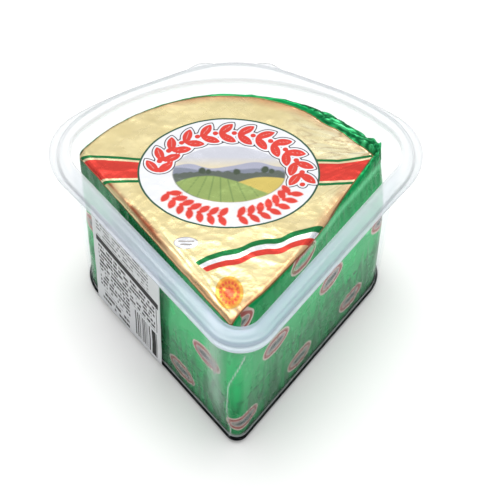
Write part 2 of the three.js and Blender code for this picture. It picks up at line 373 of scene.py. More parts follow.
# The gold sheet's edges, where the green foil of the sides is folded over it: the right one as x over
# y, the back one as y over x. The true distance to these slanted lines is a share of the step to them.
GOLD_RIGHT = [(-77, -6.8), (-70.6, -2.8), (-63.4, 2.4), (-55, 10), (-41.8, 20.5), (-25.8, 32.3),
              (2.6, 48.8), (29, 64.6)]
GOLD_BACK = [(-80, 90), (-20, 80), (8, 69.8), (22, 64.6), (30, 60.8), (36, 56.6), (42, 50.6), (50, 44.8),
             (57, 37.2), (61, 33.2), (65, 28), (80, 8)]
RIGHT_SLANT, BACK_SLANT = 0.83, 0.78
GOLD_DROP = 1.9
GOLD_BACK_INSET = 2.1


def gold_plan(x, y):
    """The gold sheet as seen from above, where green folds lie over it."""
    right = (x - smooth_line(y, GOLD_RIGHT)) * RIGHT_SLANT
    back = (y - smooth_line(x, GOLD_BACK)) * BACK_SLANT
    past_arc = from_middle(x, y)[0] - WEDGE_PLAN["arc_radius"] + GOLD_BACK_INSET
    arc = np.where(y > WEDGE_MIDDLE[1], past_arc, WELL_INSIDE)
    return np.maximum.reduce([right, back, arc])


# The two bands that run from the oval to the edges of the gold.
BANDS = [
    [(-80, 14.4), (-60, 14.0), (-30, 14.1), (-30, 23.8), (-46, 24.1), (-62, 26.0), (-80, 26.2)],
    [(30, 12.0), (40, 12.2), (56, 13.4), (77, 15.0), (77, 28.5), (64, 26.6), (48, 23.6), (30, 24.2)],
]

# Pairs of leaves with a berry each, on stems that stand along an ellipse at these angles in degrees.
GARLAND = {
    "middle": (-3.6, 15.0), "radii": (33.4, 28.6), "angles": np.linspace(175, 5, 12), "clockwise": 1,
    "leaf": (9.8, 4.5), "spread": 40, "stem": 7.4, "berry": 1.35,
}
SPRIG = {
    "middle": (-3.6, 17.0), "radii": (31.6, 27.4), "clockwise": -1,
    "angles": [*np.linspace(208, 262, 7), *np.linspace(278, 332, 7)],
    "leaf": (6.2, 3.1), "spread": 62, "stem": 0.0, "berry": 1.0,
}
VEIN_START, VEIN_END = 2.6, 0.82


def stems(spray):
    """Where each stem of a spray stands, and the direction of the ellipse there."""
    middle, radii = np.array(spray["middle"]), np.array(spray["radii"])
    for angle in np.radians(spray["angles"]):
        cos, sin = direction(angle)
        across, up = spray["clockwise"] * radii * [sin, -cos]
        yield middle + radii * [cos, sin], math.atan2(up, across)


def leaves_of(spray):
    """Where each leaf of a spray springs from, and the way that it points."""
    spread = math.radians(spray["spread"])
    return [(root, along + side * spread) for root, along in stems(spray) for side in (1, -1)]


def foliage(x, y, spray):
    leaves = [leaf(x, y, *each, *spray["leaf"]) for each in leaves_of(spray)]
    berries = []
    for root, along in stems(spray):
        u, v = turned(x, y, root, along)
        berries.append(np.hypot(u - spray["stem"], v) - spray["berry"])
    return np.minimum.reduce(leaves + berries)


def veins(x, y, spray):
    """A thin line along the middle of each leaf, from VEIN_START mm to a share of the leaf's length."""
    end = VEIN_END * spray["leaf"][0]
    return np.minimum.reduce([
        segment(*turned(x, y, root, angle), VEIN_START, end) for root, angle in leaves_of(spray)
    ])


# The ribbon's lower edge, its left end and how that leans, and the slants of the end and the stripes.
RIBBON = [(-20, -47.8), (-14, -43.6), (-7, -40.6), (1, -38.6), (6, -35.4), (12, -33.4), (19, -32.6),
          (24, -29.6), (30, -27.4), (42, -23.5)]
RIBBON_START, RIBBON_LEAN = -14.0, 0.55
END_SLANT, STRIPE_SLANT = 0.8, 0.85


def ribbon(x, y, low, high):
    """The stripe of the ribbon between two heights over its lower edge."""
    height = y - smooth_line(x, RIBBON)
    past_end = (RIBBON_START - RIBBON_LEAN * height - x) * END_SLANT
    return np.maximum.reduce([low - height, height - high, past_end]) * STRIPE_SLANT


# The seal, with a flower and a ring of short rays, in shares of the seal's radii.
SEAL = (-4.2, -55.2)
SEAL_RADII = np.array([6.2, 9.35])
FLOWER = {"radius": 0.34, "petals": 8, "depth": 0.06}
RAYS = {"pitch": 2 * np.pi / 16, "half_width": 0.075, "reach": 0.62, "half_length": 0.1}


def seal_shapes(x, y):
    """The seal's flower and its rays."""
    u, v = (x - SEAL[0]) / SEAL_RADII[0], (y - SEAL[1]) / SEAL_RADII[1]
    reach, angle = np.hypot(u, v), np.arctan2(v, u)
    flower = reach - FLOWER["radius"] - FLOWER["depth"] * np.cos(FLOWER["petals"] * angle)
    aside = reach * np.abs(from_nearest(angle, RAYS["pitch"])) - RAYS["half_width"]
    rays = np.maximum(aside, np.abs(reach - RAYS["reach"]) - RAYS["half_length"])
    return flower * SEAL_RADII.min(), rays * SEAL_RADII.min()


# A small oval with two short bars: how far each lies above its middle, and half its length.
STAMP = (-23.3, -26.5)
STAMP_RADII = (5.6, 3.7)
STAMP_BARS = ((1.0, 3.4), (-0.9, 2.4))


def stamp_bars(x, y):
    u, v = x - STAMP[0], y - STAMP[1]
    return np.minimum.reduce([segment(u, v - up, -half, half) for up, half in STAMP_BARS])


# The landscape in the picture, from its middle: skylines, bushes by place and size, and the point
# from which the meadow's rows fan out, with the angle between them.
SKYLINES = {
    "far_hills": [(-30, 3), (-18, 6.2), (-9, 3.4), (2, 5.2), (14, 7.6), (22, 5), (30, 4)],
    "near_hills": [(-30, 4), (-20, 3.4), (-10, 1.2), (4, 2.6), (15, 3.4), (30, 1.5)],
    "woods": [(-30, -1), (-16, 0.8), (-4, 1.6), (9, 0), (20, 1.8), (30, 1)],
    "field": [(-30, -22), (-8, -13), (4, -5.8), (13, -2.6), (22, -2.4), (30, -4)],
    "meadow": [(-30, -9), (-20, -3.6), (-8, -1.6), (4, -5.5), (16, -12), (30, -18)],
}
BUSHES = [((-12.5, 1.8), 1.9), ((-9.6, 1.4), 1.4), ((3.6, 1.2), 1.7), ((17.0, 2.6), 2.0),
          ((20.0, 1.8), 1.5)]
ROW_ORIGIN, ROW_PITCH = (-4, 16), 0.17
SKY_GLOW_TOP, SKY_GLOW_SLOPE = 7.5, 0.3


def top_print(x, y, ragged):
    """The shapes on the gold from the lowest to the top one: a name, a signed distance, and its inks.

    An ink says how far out it reaches, over how many mm its edge is soft, and its colour.
    """
    px, py = x - PICTURE[0], y - PICTURE[1]
    picture = ellipse(x, y, PICTURE, PICTURE_RADII)
    bushes = np.minimum.reduce([ellipse(px, py, at, (size, size * 1.1)) for at, size in BUSHES])
    rows = np.hypot(px - ROW_ORIGIN[0], py - ROW_ORIGIN[1])
    rows = rows * np.abs(from_nearest(np.arctan2(px - ROW_ORIGIN[0], ROW_ORIGIN[1] - py), ROW_PITCH))
    flower, rays = seal_shapes(x, y)

    def framed(distance):
        return np.maximum(distance, picture)

    def land(name):
        """The ground under one of the skylines."""
        return py - smooth_line(px, SKYLINES[name])

    bands = np.minimum.reduce([polygon(x, y, band) for band in BANDS])
    return [
        ("bands", bands, (2.8, 0.2, BAND_GREEN), (1.2, 0.2, rgb(250, 232, 190)), (0, 0.2, RED)),
        ("oval", ellipse(x, y, OVAL, OVAL_RADII), (0, 0.2, rgb(62, 98, 78)), (-0.95, 0.2, WHITE)),
        ("picture", picture, (0, 0.5, rgb(216, 218, 228))),
        ("low_sky", framed((py - SKY_GLOW_TOP) * SKY_GLOW_SLOPE), (0, 2.0, rgb(238, 226, 196))),
        ("far_hills", framed(land("far_hills")), (0, 0.6, rgb(182, 184, 204))),
        ("near_hills", framed(land("near_hills")), (0, 1.0, rgb(142, 148, 164))),
        ("woods", framed(land("woods") - 1.2 * ragged), (0, 0.9, rgb(104, 112, 104))),
        ("field", framed(land("field")), (0, 0.8, rgb(222, 200, 110))),
        ("meadow", framed(land("meadow")), (0, 0.9, rgb(158, 180, 108))),
        ("rows", framed(np.maximum(land("meadow"), rows)), (0.22, 0.7, rgb(118, 146, 88))),
        ("bushes", framed(bushes - 0.5 * ragged), (0, 0.8, rgb(82, 94, 78))),
        ("garland", foliage(x, y, GARLAND),
         (1.3, 0.2, rgb(70, 60, 66)), (0.8, 0.2, WHITE), (0, 0.2, RED)),
        ("veins", veins(x, y, GARLAND), (0.16, 0.3, PINK)),
        ("sprig", foliage(x, y, SPRIG), (0.45, 0.25, PINK), (0.05, 0.2, RED)),
        ("stamp", ellipse(x, y, STAMP, STAMP_RADII), (0, 0.3, STAMP_GREY), (-0.4, 0.3, WHITE)),
        ("stamp_bars", stamp_bars(x, y), (0.4, 0.3, STAMP_GREY)),
        ("ribbon_green", ribbon(x, y, 6.3, 9.4), (0, 0.2, BAND_GREEN)),
        ("ribbon_white", ribbon(x, y, 3.4, 6.3), (0, 0.2, WHITE)),
        ("ribbon_red", ribbon(x, y, 0, 3.4), (0, 0.2, RED)),
        ("seal", ellipse(x, y, SEAL, SEAL_RADII),
         (0, 0.3, rgb(238, 184, 104)), (-0.35, 0.3, rgb(246, 182, 86)), (-1.4, 0.4, rgb(244, 152, 72))),
        ("seal_ticks", rays, (0, 0.3, SEAL_RED)),
        ("seal_flower", flower, (0, 0.4, SEAL_RED)),
    ]


# ---------------- the print on the sides

MOTIF_PITCH = 46.0
MOTIF_RISE = 33.0
MOTIF_RADII = (11.0, 5.8)
MOTIF_MARK_RADII = (5.4, 1.1)
MOTIF_HEIGHT = 12.0
MOTIF_SHIFT = 9.0
DASH_PITCH = 5.6
DASH_HALF = 1.1


def side_print(s, z, length, bare):
    """Plain ovals in staggered rows with dashes between them; s runs round the sides and z up.

    length is the way round; bare is above 0 where the foil is crumpled and shows no print.
    """
    pitch = length / round(length / MOTIF_PITCH)
    row = np.round((z - MOTIF_HEIGHT) / MOTIF_RISE)
    u = from_nearest(s - MOTIF_SHIFT - row * pitch / 2, pitch)
    v = z - MOTIF_HEIGHT - row * MOTIF_RISE
    dash = from_nearest(s, length / round(length / DASH_PITCH))
    dashes = segment(dash, MOTIF_RISE / 2 - np.abs(v), -DASH_HALF, DASH_HALF)
    return [
        ("dashes", np.maximum(dashes, bare), (0.75, 0.5, rgb(20, 100, 60))),
        ("motif", np.maximum(ellipse(u, v, (0, 0), MOTIF_RADII), bare),
         (0, 0.3, SIDE_RING), (-1.0, 0.4, rgb(172, 74, 78)),
         (-2.8, 0.4, SIDE_RING), (-3.3, 0.4, rgb(164, 156, 154))),
        ("motif_mark", np.maximum(ellipse(u, v, (0, 0), MOTIF_MARK_RADII), bare),
         (0, 0.5, rgb(84, 92, 96))),
    ]


# ---------------- the wedge under the foil's folds

WEDGE_STEPS = [8, 150, 14, 200, 14, 150]
SIDE_RINGS = 60
TOP_RINGS = 88
RIM_CROWDING = 1.15


def wedge_ring(inset, z):
    """A ring of the wedge, whose plan goes from the tub's at its foot to its own at its top."""
    foot_out = -WALL - WEDGE_FOOT_GAP
    foot = sector_outline(
        TUB_PLAN, foot_out - inset, foot_out - inset, BASE_CORNERS + foot_out, WEDGE_STEPS
    )
    cos, sin = direction(WEDGE_TURN)
    top = sector_outline(WEDGE_PLAN, -inset, -inset, WEDGE_CORNERS, WEDGE_STEPS)
    top = top @ np.array([[cos, sin], [-sin, cos]]) + WEDGE_PLACE
    return at_height(lerp(foot, top, z / WEDGE_HEIGHT), WEDGE_FOOT_Z + z)


def wedge_rings():
    """The smooth wedge: rings out under it, up its foot, sides and edge, and in over its top."""
    heights = np.linspace(WEDGE_FOOT_RADIUS, WEDGE_HEIGHT - WEDGE_EDGE_RADIUS, SIDE_RINGS + 2)
    side = [(0, z) for z in heights[1:-1]]
    edge = [(inset, WEDGE_HEIGHT - drop) for drop, inset in rounding(WEDGE_EDGE_RADIUS, 8)]
    body = [wedge_ring(inset, z) for inset, z in rounding(WEDGE_FOOT_RADIUS) + side + edge]
    inwards = ((np.arange(TOP_RINGS) + 1) / (TOP_RINGS + 1)) ** RIM_CROWDING
    middle = np.array([*WEDGE_MIDDLE, WEDGE_TOP_Z])
    top = [lerp(body[-1], middle, share) for share in inwards]
    under = [lerp(body[0], middle - [0, 0, WEDGE_HEIGHT], share) for share in (0.9, 0.6, 0.3)]
    return np.stack(under + body + top)


# The sides swell by the belly at half their height, but not round the left corner, and the right one
# also bulges along its top edge.
LEFT_SIDE = math.pi / 2 + WEDGE_PLAN["half_angle"] - WEDGE_TURN
RIGHT_SIDE = math.pi / 2 - WEDGE_PLAN["half_angle"] - WEDGE_TURN
RIGHT_BULGE = 2.3
BULGE_MIDDLE, BULGE_HALF_SPAN = 44.0, 46.0
BELLY = 2.6
BELLY_HEIGHT, BELLY_HALF_SPAN = 44.0, 44.0
LEFT_CORNER, LEFT_CORNER_HALF_SPAN = math.radians(149), math.radians(26)
WALL_CLEARANCE = 0.35
LEAST_ROOM = 0.05


def from_left_side(x, y):
    """How far a point of the top lies in from the wedge's left side, and how far along it."""
    along, outwards = turned(x, y, WEDGE_APEX, LEFT_SIDE)
    return -outwards, along


def bulged(rings):
    """The rings with the belly and the right side's bulge."""
    x, y, z = np.moveaxis(rings, -1, 0)
    belly = BELLY * (1 - hump(from_middle(x, y)[1], LEFT_CORNER, LEFT_CORNER_HALF_SPAN))
    belly = belly * hump(z - WEDGE_FOOT_Z, BELLY_HEIGHT, BELLY_HALF_SPAN)
    rings = rings + belly[..., None] * grid_normals(rings) * [1, 1, 0]
    x, y, z = np.moveaxis(rings, -1, 0)
    along, inwards = turned(x, y, WEDGE_APEX, RIGHT_SIDE)
    push = RIGHT_BULGE * hump(along, BULGE_MIDDLE, BULGE_HALF_SPAN)
    push = push * falloff(1, 22, inwards) * smoothstep(20, WEDGE_HEIGHT, z)
    cos, sin = direction(RIGHT_SIDE)
    return rings + push[..., None] * [sin, -cos, 0]


def kept_inside(rings, smooth):
    """The rings held back where they would press into the tub's wall.

    smooth are the rings before any swelling.
    """
    outwards = unit(grid_normals(smooth) * [1, 1, 0])
    wall = []
    for z in smooth[:, 0, 2]:
        t = z / RIM_HEIGHT
        out = WALL_DRAFT * t - WALL
        corners = lerp(BASE_CORNERS, WALL_TOP_CORNERS, t) - WALL
        wall.append(at_height(sector_outline(TUB_PLAN, out, out, corners, WEDGE_STEPS), z))
    room = ((np.stack(wall) - smooth) * outwards).sum(-1) - WALL_CLEARANCE
    room = np.maximum(room, LEAST_ROOM)
    push = ((rings - smooth) * outwards).sum(-1)
    held = np.where(push > 0, room * np.tanh(push / room), push)
    return rings + outwards * (held - push)[..., None]


# ---------------- the foil's folds

BROAD, FINE, FINEST = Noise(11), Noise(23), Noise(37)

# Spans of angles round the back, from the right: where a fold starts, is full, fades and ends.
TUFT_HEIGHT = 2.0
TUFT_SPAN = [math.radians(angle) for angle in (24, 36, 36, 72)]
# The foil folded down over the gold all along the back edge.
FOLD_RISE = 1.9
FOLD_SPAN = [math.radians(angle) for angle in (40, 62, 84, 118)]
# The lump at the back right corner.
LUMP_HEIGHT = 4.6
LUMP_ANGLE, LUMP_HALF_SPAN = math.radians(31.5), math.radians(9)

# Creases spread over the top from a centre behind the back right edge, between these angles.
FAN_CENTRE = WEDGE_MIDDLE + 88 * direction(math.radians(30))
FAN_NEAR, FAN_FAR = 28, 62
FAN_SPAN = (0.12, 0.5, 1.05, 1.75)
# The fan's creases are laid out by the arc at this radius, those round the back by this width.
FAN_RADIUS = 36
STRAND_WIDTH = 3.2


def dents(x, y, z):
    """The shallow dents of the solid: two crossed waves, wide and narrow."""
    def wave(distance, length):
        return np.sin(2 * np.pi * distance / length)
    wide = wave(x + y / 2 + z / 2, WIDE_DENT) * wave(z - y / 2, WIDE_DENT)
    narrow = wave(x - y, NARROW_DENT) * wave(z + x, NARROW_DENT)
    return WIDE_SHARE * wide + (1 - WIDE_SHARE) * narrow


def foil_places(rings):
    """For each point of the rings: where it lies, and the patterns of the folds there."""
    points = rings.reshape(-1, 3)
    x, y, z = points.T
    at = SimpleNamespace(points=points, x=x, y=y, height=z - WEDGE_FOOT_Z, over_top=z - WEDGE_TOP_Z)
    at.normals = grid_normals(rings).reshape(-1, 3)
    at.on_top = smoothstep(0.5, 0.95, at.normals[:, 2])
    at.reach, at.angle = from_middle(x, y)
    at.inwards, at.along = from_left_side(x, y)
    at.gold = gold_plan(x, y)
    u, v = x - FAN_CENTRE[0], y - FAN_CENTRE[1]
    at.fan_reach, at.fan_arc = np.hypot(u, v), np.arctan2(v, -u) * FAN_RADIUS
    at.fan = falloff(FAN_NEAR, FAN_FAR, at.fan_reach) * within(at.angle, *FAN_SPAN)

    at.left_pleat = creased(FINE.on_sheet(at.inwards, at.along, (3.2, 34)))
    at.wrinkle = creased(FINE(points, (6.0, 6.0, 30.0)))
    at.low = falloff(10, 50, at.height)
    strand = np.column_stack([at.angle * at.reach / STRAND_WIDTH, at.reach, z])
    at.pleat = creased(FINE(strand, (2.4, 1.5, 1.5)), -0.25)
    at.knot = creased(BROAD(strand, (1.1, 3.4, 3.4)), -0.25)
    at.tuft = within(at.angle, *TUFT_SPAN)
    at.crumpled = at.tuft * smoothstep(-0.2, 1.2, at.gold) * smoothstep(-9, -1, at.over_top)
    at.folded = within(at.angle, *FOLD_SPAN)
    return at


def foil_relief(at):
    """The points moved by the foil's wrinkles and folds."""
    # On the top: crinkles, long pleats along the left edge and fanned creases at the back right.
    crinkle = 0.5 * BROAD(at.points, 24) - 0.62 * creased(BROAD(at.points, 15))
    crinkle += 0.07 * FINEST(at.points, 3.2) - 0.26 * creased(FINE(at.points, 7))
    fan = creased(FINEST.on_sheet(at.fan_arc, at.fan_reach, (3.4, 22)))
    top_relief = (0.68 - 0.15 * at.fan) * crinkle - 0.1 * at.fan * fan
    top_relief += 0.55 * falloff(3, 12, at.inwards) * at.left_pleat

    # Round the sides: upright wrinkles that die out upwards, over the solid's shallow dents.
    side_relief = -(0.18 + 0.4 * at.low) * at.wrinkle - 0.12 * FINEST(at.points, (3.2, 3.2, 9))
    side_relief = np.clip(side_relief, -0.5, 0.6 * WEDGE_FOOT_GAP + 0.05 * at.height)
    side_relief += FOIL_DENT * dents(at.x, at.y - PLAN_Y, at.height) * smoothstep(3, 14, at.height)
    relief = lerp(side_relief * smoothstep(0, 3, at.height), top_relief, at.on_top)

    # Round the back: crumpled foil that stands up, the long fold and the corner's lump.
    lump = LUMP_HEIGHT * hump(at.angle, LUMP_ANGLE, LUMP_HALF_SPAN)
    rise = (
        TUFT_HEIGHT * at.tuft * smoothstep(0.6, 3, at.gold)
        + lump * (0.75 + 0.9 * at.pleat + 0.8 * at.knot) * smoothstep(0.3, 2.0, at.gold)
        + FOLD_RISE * at.folded * (0.85 + 0.5 * at.pleat) * smoothstep(0.4, 1.4, at.gold)
    )
    relief += at.crumpled * (1.5 * at.pleat + 1.2 * at.knot)
    moved = at.points + at.normals * relief[:, None]
    moved[:, 2] += rise * smoothstep(-3.5, 0, at.over_top)
    return moved


def foil_shades(at):
    """Painted highlights and painted shade, mostly of the folds, as shares of the material's other
    colours.
    """
    side = 1 - at.on_top
    stroke = creased(FINEST.on_sheet(at.fan_arc, at.fan_reach, (2.6, 11), layer=5 / 9), -0.25)
    scratch = creased(FINE.on_sheet(at.fan_arc, at.fan_reach, (3.6, 13), layer=1), 0)
    at_right = smoothstep(-0.2, 0.6, at.gold) * (at.x > at.y / 2 + 12)
    right_edge = hump(at.over_top, -5.0, 2.7) * at_right * smoothstep(-48, -28, at.y)
    left_corner = hump(at.angle, LEFT_CORNER, 0.14) * hump(at.over_top, -5, 9)
    # Painted highlights on the crumpled foil's pleats and along the rounded top of the right edge.
    fold_highlight = [at.crumpled * (2.6 * at.pleat + 1.4 * at.knot), 0.8 * right_edge * (1 + 0.8 * at.pleat)]
    dark = [
        # Painted shade in the crumpled foil's valleys and behind the fold on the gold's edge.
        at.crumpled * (0.3 - 3.2 * at.pleat - 1.8 * at.knot),
        0.5 * at.folded * hump(at.gold, 3.4, 2.4) * at.on_top,
        0.4 * at.folded * smoothstep(-2.2, -0.4, at.reach - WEDGE_PLAN["arc_radius"]),
        # Painted shade under the flange, more so on the right, on the left edge and at the left corner.
        (0.34 + 0.14 * at_right) * smoothstep(58, 72, at.height),
        0.4 * (at.inwards < 4) * smoothstep(40, 70, at.along) * smoothstep(-16, -6, at.over_top),
        0.8 * left_corner,
        # Painted shade in the sides' wrinkles, and darker towards the foot.
        2.2 * side * (0.25 + 0.75 * at.low) * clipped(-0.05 - at.wrinkle),
        0.58 * side * falloff(2, 56, at.height),
    ]
    # Painted brown shade along the left edge's creases, at the point and in scratches of the fan.
    crease_shade = [
        at.on_top * falloff(2, 5.5, at.inwards) * within(at.along, 40, 66, 100, 122)
        * (0.62 - 2.2 * at.left_pleat),
        at.on_top * falloff(0.2, 2.2, at.inwards) * (0.4 - at.left_pleat),
        0.8 * at.on_top * falloff(0, 12, at.along) * (0.5 - 1.6 * at.left_pleat),
        0.4 * at.fan * falloff(0.02, 0.12, scratch),
    ]
    # Painted highlights on the fan's crinkles.
    fan_highlight = [at.fan * (0.42 + 0.9 * stroke)]
    shades = {"fan_highlight": fan_highlight, "fold_highlight": fold_highlight, "dark": dark, "crease_shade": crease_shade}
    return {name: clipped(sum(parts)) for name, parts in shades.items()}


# The sides show no print this close under the top: at the tuft, at the left edge and behind.
BARE_TUFT, BARE_LEFT, BARE_BACK = 22, 24, 14
# The gold's orange rim is narrower at the back left, as if its rim were this much further away.
RIM_TINT_SHIFT = 3.4


def way_round(rings):
    """How far each point lies round the wedge, from half-way round, and the whole way's length."""
    level = rings[len(rings) // 3]
    steps = np.linalg.norm(np.diff(level, axis=0, append=level[:1]), axis=1)
    length = steps.sum()
    along = np.concatenate([[0], np.cumsum(steps)[:-1]])
    along = (along + length / 2) % length - length / 2
    return np.broadcast_to(along, rings.shape[:2]).ravel(), length


def make_foil():
    """The foil round the cheese, with its prints as distances to each shape. Also the prints' inks."""
    smooth = wedge_rings()
    rings = bulged(smooth)
    at = foil_places(rings)
    ragged = Noise(5).on_sheet(at.x, at.y, (2.6, 2.6))

    behind = at.y > WEDGE_MIDDLE[1]
    no_print = ((at.inwards < 6) & (at.over_top > -BARE_LEFT)) | (behind & (at.over_top > -BARE_BACK))
    bare = np.where(at.over_top > -BARE_TUFT, 30 * (at.tuft - 0.25), WELL_INSIDE)
    bare = np.where(no_print, -WELL_INSIDE, bare)
    along, length = way_round(rings)
    prints = [side_print(along, at.height, length, bare), top_print(at.x, at.y, ragged)]

    rim_tint_shift = RIM_TINT_SHIFT * smoothstep(20, 48, -at.x) * behind
    attributes = {name: distance for shapes in prints for name, distance, *_ in shapes}
    attributes["gold"] = np.maximum(at.gold, -GOLD_DROP - at.over_top)
    attributes["rim"] = np.maximum(at.gold, -at.inwards) - rim_tint_shift
    attributes.update(foil_shades(at))
    moved = kept_inside(foil_relief(at).reshape(rings.shape), smooth)
    inks = [[(name, *ink) for name, _, *layers in shapes for ink in layers] for shapes in prints]
    return ring_mesh("foil_wrap", moved, attributes), *inks


# ---------------- the tub

TUB_STEPS = [48, 110, 56, 200, 56, 110]
FOOT_SHARE = BASE_FILLET / RIM_HEIGHT
# Where rings of the base and of the flange lie, as shares of the way out.
BASE_SHARES = (0.15, 0.4, 0.7, 0.9)
FLANGE_SHARES = np.linspace(0, 1, 6)


def wall_ring(t, offset, z):
    """A ring of the wall, t of the way up its draft and moved outwards by offset."""
    out = WALL_DRAFT * t + offset
    corners = lerp(BASE_CORNERS, WALL_TOP_CORNERS, t)
    return at_height(sector_outline(TUB_PLAN, out, out, corners, TUB_STEPS), z)


def widened(ring, width_at):
    """The ring moved away from the back arc's centre, by a width for the angle from straight back."""
    outwards = ring[:, :2] - [0, TUB_PLAN["arc_centre"] + PLAN_Y]
    angle = np.abs(np.arctan2(outwards[:, 0], outwards[:, 1]))
    ring = ring.copy()
    ring[:, :2] += unit(outwards) * width_at(angle)[:, None]
    return ring


def flange_ring(t, beyond, z):
    """A ring of the flange, t of the way from the wall to its edge and moved outwards by beyond."""
    side = lerp(WALL_DRAFT, FLANGE_SIDE, t) + beyond
    back = lerp(WALL_DRAFT, FLANGE_BACK, t) + beyond
    corners = lerp(WALL_TOP_CORNERS, FLANGE_CORNERS, t)
    ring = at_height(sector_outline(TUB_PLAN, side, back, corners, TUB_STEPS), z)
    return widened(ring, lambda angle: t * GRIP_WIDTH * hump(angle, 0, GRIP_HALF_SPAN))


def lip_ring(share, z):
    """A ring of the lip, that share of the way out over it, its ears and its tabs."""
    def width(angle):
        return sum(wing["width"] * hump(angle, wing["angle"], wing["half_span"]) for wing in (EAR, TAB))
    return widened(flange_ring(1, LIP_WIDTH * share, z), lambda angle: share * width(angle))


def wall_face(inner, shares):
    """Rings up one face of the tub, from the middle of the base; inner is how far in that face lies."""
    edge = wall_ring(0, -BASE_FILLET - inner, inner)
    base = [lerp(edge.mean(0), edge, share) for share in BASE_SHARES]
    fillet = [
        wall_ring(up / RIM_HEIGHT, -inner - inset, inner + up) for inset, up in rounding(BASE_FILLET)[:-1]
    ]
    low, high = inner + BASE_FILLET, RIM_HEIGHT - WALL + inner - FLANGE_ROOT
    wall = [wall_ring(lerp(FOOT_SHARE, 1, share), -inner, lerp(low, high, share)) for share in shares]
    return base + fillet + wall


def flange_face(root, z):
    """Rings out over one face of the flange, which drops in a shallow crown towards its shoulder."""
    inner, outer = flange_ring(0, root, z), flange_ring(1, -SHOULDER_RADIUS, z)
    return [lerp(inner, outer, share) - [0, 0, FLANGE_CROWN * share**2] for share in FLANGE_SHARES]


def rim_rings():
    """Rings from under the flange's shoulder down its skirt, round the lip and back up outside."""
    edge_height = RIM_HEIGHT - FLANGE_CROWN
    lip_top = RIM_HEIGHT - SKIRT_DROP
    inside, outside = rounding(SHOULDER_RADIUS - WALL)[1:], rounding(SHOULDER_RADIUS)[1:]
    return [
        *(flange_ring(1, -WALL - inset, edge_height - WALL - drop) for inset, drop in inside),
        flange_ring(1, -WALL, lip_top),
        *(lip_ring(share, lip_top - WALL) for share in (0, 0.5, 1)),
        *(lip_ring(share, lip_top) for share in (1, 0.5, 0.2)),
        *(flange_ring(1, 0, z) for z in np.linspace(lip_top + 0.25, edge_height - SHOULDER_RADIUS, 3)),
        *(flange_ring(1, -inset, edge_height - drop) for drop, inset in outside),
    ]


def tub_profile():
    """Rings from the middle of the base, up the outside, over the flange and down the inside.

    Also which of them make the rim: the flange's shoulder, its skirt and the lip.
    """
    under = RIM_HEIGHT - WALL
    root = FLANGE_ROOT - WALL
    bend = rounding(FLANGE_ROOT)[1:]
    heights = np.linspace(0, 1, 30)

    def inner_root(out, drop):
        z = RIM_HEIGHT - drop
        return lerp(flange_ring(0, -WALL, z), flange_ring(0, root, z), out / FLANGE_ROOT)

    outside = [
        *wall_face(0, (0, 0.006, 0.012, *heights[1:])),
        *(flange_ring(0, out, under - drop) for drop, out in bend),
        *flange_face(FLANGE_ROOT, under)[1:],
    ]
    rim = rim_rings()
    inside = [
        *wall_face(WALL, heights[:-1]),
        *(inner_root(out, drop) for out, drop in bend[::-1]),
        *flange_face(root, RIM_HEIGHT)[:-1],
    ]
    return np.stack(outside + rim + inside[::-1]), slice(len(outside), len(outside) + len(rim))


# The crease of the front corner: heights and how far left of the point it faces, in degrees.
CREASE = [(2, 44), (10, 28), (23, 48), (45, 36), (60, 2), (71, -20)]
CREASE_HALF_WIDTH = 0.55
CREASE_RELIEF = 0.22
WALL_WAVE = 0.16
# A painted reflection: a pale streak up the left wall, by how far along the wall it lies.
STREAK_MIDDLE, STREAK_HALF_WIDTH = 15.5, 9.0


def corner_crease(normals, y, z):
    """1 on the thin crease down the front corner, 0 away from it."""
    facing = np.degrees(np.arctan2(-normals[:, 0], -normals[:, 1]))
    heights, angles = np.array(CREASE, float).T
    radius = lerp(BASE_CORNERS[0], WALL_TOP_CORNERS[0], z / RIM_HEIGHT)
    away = np.abs(facing - np.interp(z, heights, angles)) * np.radians(radius)
    in_front = (y < PLAN_Y + 20) & (z < heights[-1])
    return clipped(1 - away / CREASE_HALF_WIDTH) * in_front


def tub_shades(points, normals, at_rim, crease):
    """How hazy, dark, glossy and cool the sheet shows at each point; the dark and some haze are painted
    shade and painted highlights.
    """
    x, y, z = points.T
    outside = normals[:, 0] * x + normals[:, 1] * (y - WEDGE_MIDDLE[1]) > 0
    flange = np.maximum(smoothstep(RIM_HEIGHT - 5.5, RIM_HEIGHT - 1.6, z), at_rim)
    bend = flange * falloff(0.35, 0.95, np.abs(normals[:, 2]))
    in_front = falloff(PLAN_Y + 10, PLAN_Y + 110, y)
    lip = at_rim * falloff(0.1, 0.4, z - RIM_HEIGHT + SKIRT_DROP)
    # Painted highlight along the lip in front.
    lip_highlight = lip * smoothstep(0.1, 0.6, in_front) * (0.45 + 0.55 * bend)

    # Painted contact shadow: the foot is dark outside, up to where the sheet lies on the floor. A painted
    # highlight line runs round it inside.
    foot = np.where(outside, falloff(1.8, 3.0, z), falloff(1.2, 2.1, z))
    foot_highlight = hump(z, 3.6, 1.1) * ~outside
    along, out = turned(x, y, (0, PLAN_Y), math.pi / 2 + TUB_PLAN["half_angle"])
    # Painted reflection up the left wall, as haze.
    reflection_streak = hump(along, STREAK_MIDDLE, STREAK_HALF_WIDTH) * smoothstep(-9, -5, out) * smoothstep(8, 30, z)
    wall_haze = 0.004 + 0.075 * smoothstep(30, 88, z) + 0.26 * reflection_streak
    haze = lerp(wall_haze, 0.36 + 0.12 * bend * at_rim, flange)
    # Painted highlights as haze: along the corner's crease, which is also a real ridge, on the foot's
    # line and on the lip.
    haze = clipped(haze + 0.6 * crease + 0.9 * foot_highlight + 0.32 * lip_highlight)
    # Painted shade on the rim's bends and on the lip.
    edge_shade = (lerp(0.07, 0.24, at_rim) + 0.16 * lip) * bend + 0.04 * lip
    return {
        "haze": haze * (1 - foot),
        "dark": clipped(edge_shade * (1 - lip_highlight) + foot),
        "gloss": lerp(0.15, 1, np.maximum(flange, crease)) * (1 - foot),
        "cool": flange * in_front * (1 - lip_highlight),
    }


